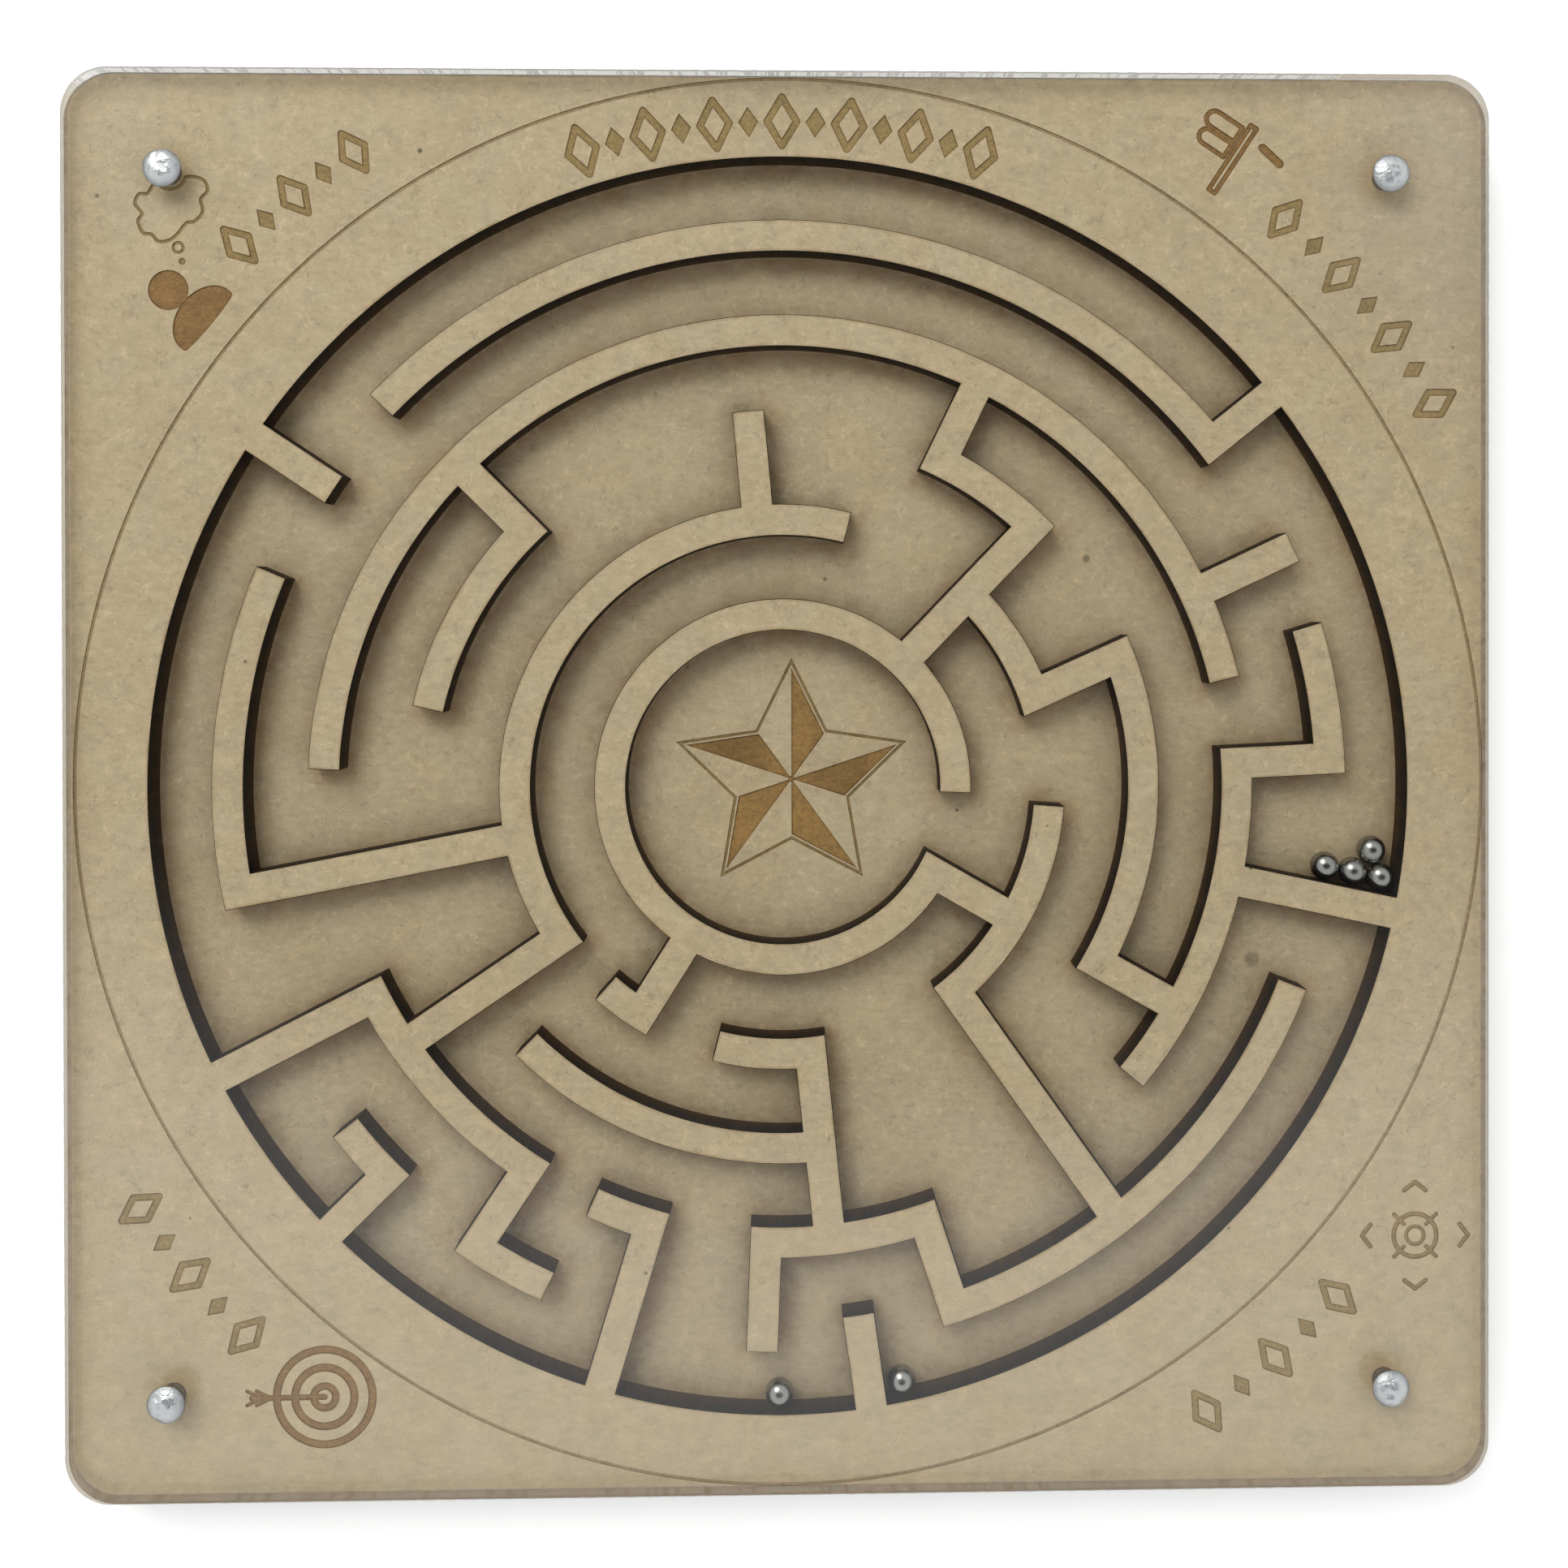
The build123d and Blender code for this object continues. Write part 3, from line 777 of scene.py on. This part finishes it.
for k in range(49):
    t = math.radians(360.0 * k / 48)
    u, v = 3.95 * math.cos(t), 2.9 * math.sin(t)
    v = v if v > -0.55 else -0.55 + (v + 0.55) * 0.12  # flat underside with rounded ends
    c, s1 = math.cos(math.radians(ax)), math.sin(math.radians(ax))
    shoulders.append((mx + u * c - v * s1 - 0.35, my + u * s1 + v * c + 0.2))
art.poly(FILL, shoulders[:-1])

# rear right: a signpost with two round-ended arms
post_a, post_b = Vector((50.1, 69.9)), Vector((45.6, 63.1))
up = (post_a - post_b).normalized()
side = Vector((up.y, -up.x))
art.line(FILL, [tuple(post_a - side * 0.38), tuple(post_b - side * 0.38), tuple(post_b + side * 0.38), tuple(post_a + side * 0.38)], 0.52, closed=True)


def sign(start, tall, length, w):
    """An arm to the left of the post, its middle line starting at `start`."""
    pts = [start + up * tall / 2, start - up * tall / 2]
    for k in range(9):
        t = math.radians(-90.0 + 180.0 * k / 8)
        pts.append(start - side * (length + tall / 2 * math.cos(t)) + up * (tall / 2 * math.sin(t)))
    art.line(FILL, [tuple(p) for p in pts], w, closed=True)


sign(post_b + up * 6.55 - side * 0.95, 1.75, 3.0, 0.54)
sign(post_b + up * 4.55 - side * 0.95, 1.65, 2.7, 0.54)
art.stroke(FILL, (51.05, 67.7), (52.85, 66.0), 0.92)

# front right: a ring sight inside four chevrons
fx, fy = 67.4, -48.2
art.ring(LINE, (fx, fy), 2.3, 0.5, 64)
art.ring(LINE, (fx, fy), 0.95, 0.42, 40)
for a in (45, 135, 225, 315):
    art.stroke(LINE, polar(1.7, a, fx, fy), polar(3.2, a, fx, fy), 0.45)
for a in (0, 90, 180, 270):
    tip = polar(5.7, a, fx, fy)
    for s in (-1, 1):
        art.stroke(LINE, tip, polar(4.95, a + s * 13.5, fx, fy), 0.5)

# front left: a target with an arrow in its middle
tx, ty = -48.3, -64.0
for r, w in ((5.0, 0.85), (3.1, 0.85)):
    art.ring(FILL, (tx, ty), r, w, 96)
art.ring(FILL, (tx, ty), 1.15, 0.8, 48)
art.stroke(FILL, (-55.9, -64.05), (tx, ty), 0.62)
for s in (-1, 1):
    art.stroke(FILL, (-56.4, -64.05 + s * 0.75), (-54.9, -64.05), 0.4)
    art.stroke(FILL, (-55.4, -64.05 + s * 0.75), (-53.9, -64.05), 0.4)

ENGRAVED_MATS = [mat_line_rim, mat_fill_rim, mat_star_rim, mat_faint_rim, mat_line, mat_fill, mat_star, mat_faint]
ENGRAVED = {cls: cls + 1 for cls in range(1, 9)}
BOARD_PROFILE = [(Z_FLOOR, 0.05), (Z_FLOOR + 0.05, 0.0), (Z_WALL - 0.07, 0.0), (Z_WALL, 0.07)]
HOLE_PROFILE = [(Z_FLOOR, 0.0), (Z_WALL, 0.0)]
loops = [(outer_loop, [(Z_FLOOR, 0.14), (Z_FLOOR + 0.10, 0.0), (Z_WALL - 0.08, 0.0), (Z_WALL, 0.08)])]
loops += [(l, BOARD_PROFILE) for l in wall_loops]
loops += [(circle_pts(x, y, HOLE_R, 36, ccw=False), HOLE_PROFILE) for x, y in RIVETS.values()]
maze = sheet("fibreboard_maze", loops, [mat_face, mat_edge] + ENGRAVED_MATS, engraving=art, depth=0.10, rim=0.36, engr_mats=ENGRAVED, values={"edge_mm": edge_distance})
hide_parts("maze_layer")
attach(maze, "board")

# ------------------------------------------------------------------ base board
SX, SY = 0.9, 0.5
star = Engraving()


def star_pts(r_out, r_in):
    return [polar(r_out if i % 2 == 0 else r_in, 90 - 36.0 * i, SX, SY) for i in range(10)]


pts = star_pts(11.95, 5.98)
for i in range(0, 10, 2):
    star.poly(STAR, [pts[i], pts[(i + 1) % 10], (SX, SY)])
star.disc(STAR, (SX, SY), 0.34, 30)
star.poly(LINE, star_pts(13.05, 6.53), star_pts(13.05 - 0.70, 6.53 - 0.35), 0.08)

grid, h = [], 0.65
rows = int(67.6 / (h * 0.866)) + 1
for j in range(-rows, rows + 1):
    for i in range(-int(68 / h) - 1, int(68 / h) + 2):
        x, y = (i + 0.5 * (j % 2)) * h, j * h * 0.866
        if math.hypot(x, y) < 67.6:
            grid.append((x + rng.uniform(-0.05, 0.05), y + rng.uniform(-0.05, 0.05)))
base_loops = [(outer_loop, [(0.0, 0.12), (0.12, 0.0), (Z_FLOOR - 0.10, 0.0), (Z_FLOOR, 0.14)])]
for x, y in RIVETS.values():
    base_loops.append((circle_pts(x, y, HOLE_R, 48, ccw=False), [(0.0, 0.92), (0.92, 0.0), (Z_FLOOR, 0.0)]))
base = sheet("fibreboard_base", base_loops, [mat_floor, mat_edge] + ENGRAVED_MATS + [mat_back], engraving=star, depth=0.15, steiner=grid, back_mat=10, engr_mats=ENGRAVED, values={"wall_mm": wall_distance, "wall_lee": wall_lee})
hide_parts("base_board")
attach(base, "board")

# ------------------------------------------------------------------ acrylic cover
GAP = 0.03  # the sheets touch; a hair of air keeps the two surfaces apart
edge_loop = rounded_square(0.0, COVER_Y, COVER_HALF - 0.02, 4.8, 0.3)
wavy = []
for i, p in enumerate(edge_loop):
    wavy.append(0.010 * math.sin(i * 0.9) + rng.uniform(-0.010, 0.010))
n = len(edge_loop)
shifted = []
for i, p in enumerate(edge_loop):
    a, b = edge_loop[i - 1], edge_loop[(i + 1) % n]
    d = Vector((b[0] - a[0], b[1] - a[1])).normalized()
    shifted.append((p[0] + d.y * wavy[i], p[1] - d.x * wavy[i]))
cover_loops = [(shifted, [(Z_WALL + GAP, 0.09), (Z_WALL + GAP + 0.07, 0.0), (Z_TOP - 0.10, 0.0), (Z_TOP, 0.11)])]
for x, y in RIVETS.values():
    cover_loops.append((circle_pts(x, y, HOLE_R, 48, ccw=False), [(Z_WALL + GAP, 0.0), (Z_TOP, 0.0)]))
cover = sheet("acrylic_cover", cover_loops, [mat_clear, mat_clear_edge, mat_clear_arris], edge_mat=1, arris_mat=2)
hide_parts("clear_cover")
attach(cover, "board")


# ------------------------------------------------------------------ rivets
def rivet(name, cx, cy, seed):
    """Countersunk foot, shank and a hammered dome with an off-centre dimple."""
    r = random.Random(seed)
    seg = 72
    dimple = [(r.uniform(-0.35, 0.35), r.uniform(-0.3, 0.3), 0.42, 0.16)]
    for k in range(16):
        a, d = r.uniform(0, 360), r.uniform(0.45, 1.75)
        x, y = polar(d, a)
        dimple.append((x, y, r.uniform(0.22, 0.45), r.uniform(0.03, 0.085)))
    rise, rim = 0.9, 0.25
    dome = (4.0 + rise * rise) / (2 * rise)
    ring = [(2.08, 0.0), (2.13, 0.02), (1.2, 0.95), (1.2, Z_TOP - 0.3), (1.2, Z_TOP), (1.86, Z_TOP), (1.96, Z_TOP + 0.05), (1.99, Z_TOP + 0.13), (1.985, Z_TOP + 0.22)]
    for k in range(1, 22):
        rr = 1.96 * math.cos(math.radians(90.0 * k / 22.0))
        ring.append((rr, Z_TOP + rim + rise - dome + math.sqrt(dome * dome - rr * rr)))

    def lifted(x, y, z):
        if z < Z_TOP + 0.1:
            return z
        drop = sum(dep * math.exp(-((x - ax) ** 2 + (y - ay) ** 2) / (w * w)) for ax, ay, w, dep in dimple)
        soft = noise.noise(Vector((x * 1.3 + seed, y * 1.3, 0.0))) * 0.05
        return z - (drop + abs(soft)) * min(1.0, (z - Z_TOP - 0.1) / 0.25)

    V, F = [], []
    for rr, z in ring:
        for s in range(seg):
            a = 360.0 * s / seg
            wob = 1.0
            if z > Z_TOP + 0.01:
                wob = 1.0 - 0.012 * (1 + math.sin(math.radians(a * 3 + seed * 40)))
            x, y = polar(rr * wob, a)
            V.append(((cx + x) * MM, (cy + y) * MM, lifted(x, y, z) * MM))
    for k in range(len(ring) - 1):
        for s in range(seg):
            t = (s + 1) % seg
            F.append((k * seg + s, k * seg + t, (k + 1) * seg + t, (k + 1) * seg + s))
    V.append((cx * MM, cy * MM, 0.0))
    V.append((cx * MM, cy * MM, lifted(0, 0, Z_TOP + rim + rise) * MM))
    last = (len(ring) - 1) * seg
    for s in range(seg):
        t = (s + 1) % seg
        F.append((len(V) - 2, t, s))
        F.append((last + s, last + t, len(V) - 1))
    ob = solid(name, V, F, [0] * len(F), [mat_rivet], 40.0)
    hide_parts(name.replace("aluminium_", ""))
    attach(ob, "board")


for i, (corner, (x, y)) in enumerate(RIVETS.items()):
    rivet("aluminium_rivet_" + corner, x, y, i + 3)

# ------------------------------------------------------------------ balls
for i in range(1, 7):
    lo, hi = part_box("steel_ball_%d" % i)
    centre, radius = (lo + hi) / 2, (hi.z - lo.z) / 2
    bm = bmesh.new()
    bmesh.ops.create_icosphere(bm, subdivisions=5, radius=radius)
    for v in bm.verts:
        v.co = v.co.normalized() * radius + centre
    me = bpy.data.meshes.new("polished_ball_%d" % i)
    bm.to_mesh(me)
    bm.free()
    me.materials.append(mat_ball)
    me.polygons.foreach_set("use_smooth", [True] * len(me.polygons))
    ob = bpy.data.objects.new("polished_ball_%d" % i, me)
    bpy.context.scene.collection.objects.link(ob)
    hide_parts("steel_ball_%d" % i)
    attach(ob, "ball_%d" % i)


# ------------------------------------------------------------------ studio
me = bpy.data.meshes.new("studio_floor")
s = 3.0
me.from_pydata([(-s, -s, -0.00006), (s, -s, -0.00006), (s, s, -0.00006), (-s, s, -0.00006)], [], [(0, 1, 2, 3)])
floor = bpy.data.objects.new("studio_floor", me)
bpy.context.scene.collection.objects.link(floor)
fmat, g, bsdf, mm = new_material("studio_paper")
g.put(bsdf.inputs["Base Color"], g.v("SCALE", (0.90, 0.90, 0.895), scale=g.m("ADD", 0.99, g.m("MULTIPLY", g.noise(mm, 0.4, 3.0), 0.02))))
bsdf.inputs["Roughness"].default_value = 0.9
bsdf.inputs["Specular IOR Level"].default_value = 0.1
bsdf.inputs["Emission Color"].default_value = (1.0, 1.0, 0.995, 1.0)
bsdf.inputs["Emission Strength"].default_value = 0.27  # a back-lit paper table, so the shadow stays pale
me.materials.append(fmat)

world = bpy.data.worlds.new("studio")
bpy.context.scene.world = world
world.use_nodes = True
world.node_tree.nodes.clear()
g = Tree(world.node_tree)
out = g.node("ShaderNodeOutputWorld")
bg = g.node("ShaderNodeBackground")
g.put(out.inputs["Surface"], bg.outputs[0])
direction = g.node("ShaderNodeTexCoord").outputs["Generated"]
sep = g.node("ShaderNodeSeparateXYZ", {"Vector": direction})
dx, dy, dz = sep.outputs[0], sep.outputs[1], sep.outputs[2]
ex = g.m("DIVIDE", dx, 0.43)
ey = g.m("DIVIDE", g.m("SUBTRACT", dy, 0.03), 0.33)
e = g.m("SQRT", g.m("ADD", g.m("MULTIPLY", ex, ex), g.m("MULTIPLY", ey, ey)))
dark = g.m("MULTIPLY", g.step(e, 0.95, 1.35, 1.0, 0.0), g.m("GREATER_THAN", dz, 0.0))
level = g.m("ADD", g.m("MULTIPLY", g.m("SUBTRACT", 1.0, dark), 1.0), g.m("MULTIPLY", dark, 0.025))
g.put(bg.inputs["Color"], (0.985, 0.995, 1.0, 1.0))
g.put(bg.inputs["Strength"], level)

lamp = bpy.data.lights.new("softbox", "AREA")
lamp.shape, lamp.size, lamp.energy, lamp.color = "DISK", 0.46, 2.9, (1.0, 0.985, 0.955)
softbox = bpy.data.objects.new("softbox", lamp)
bpy.context.scene.collection.objects.link(softbox)
softbox.location = (-0.28, 0.48, 0.50)
softbox.rotation_euler = (-Vector(softbox.location)).to_track_quat("-Z", "Y").to_euler()
# The softbox is polarised, as for glazed things: its own mirror image doesn't show in the acrylic.
polarised = bpy.data.collections.new("not_in_softbox_light")
polarised.objects.link(cover)
polarised.collection_objects[0].light_linking.link_state = "EXCLUDE"
softbox.light_linking.receiver_collection = polarised

# ------------------------------------------------------------------ camera
cam_data = bpy.data.cameras.new("camera")
cam = bpy.data.objects.new("camera", cam_data)
bpy.context.scene.collection.objects.link(cam)
cam_data.lens, cam_data.sensor_width, cam_data.sensor_fit = 35.995, 36.0, "AUTO"
cam_data.shift_x, cam_data.shift_y = -0.02759, -0.11325
cam_data.clip_start, cam_data.clip_end = 0.01, 20.0
cam.rotation_mode = "XYZ"
cam.rotation_euler = Euler((-0.00478969, -0.02284125, -0.00159133), "XYZ")
cam.location = (0.00092, 0.01988, 0.1719)
bpy.context.scene.camera = cam
bpy.context.scene.view_settings.view_transform = "Standard"
bpy.context.scene.view_settings.look = "None"
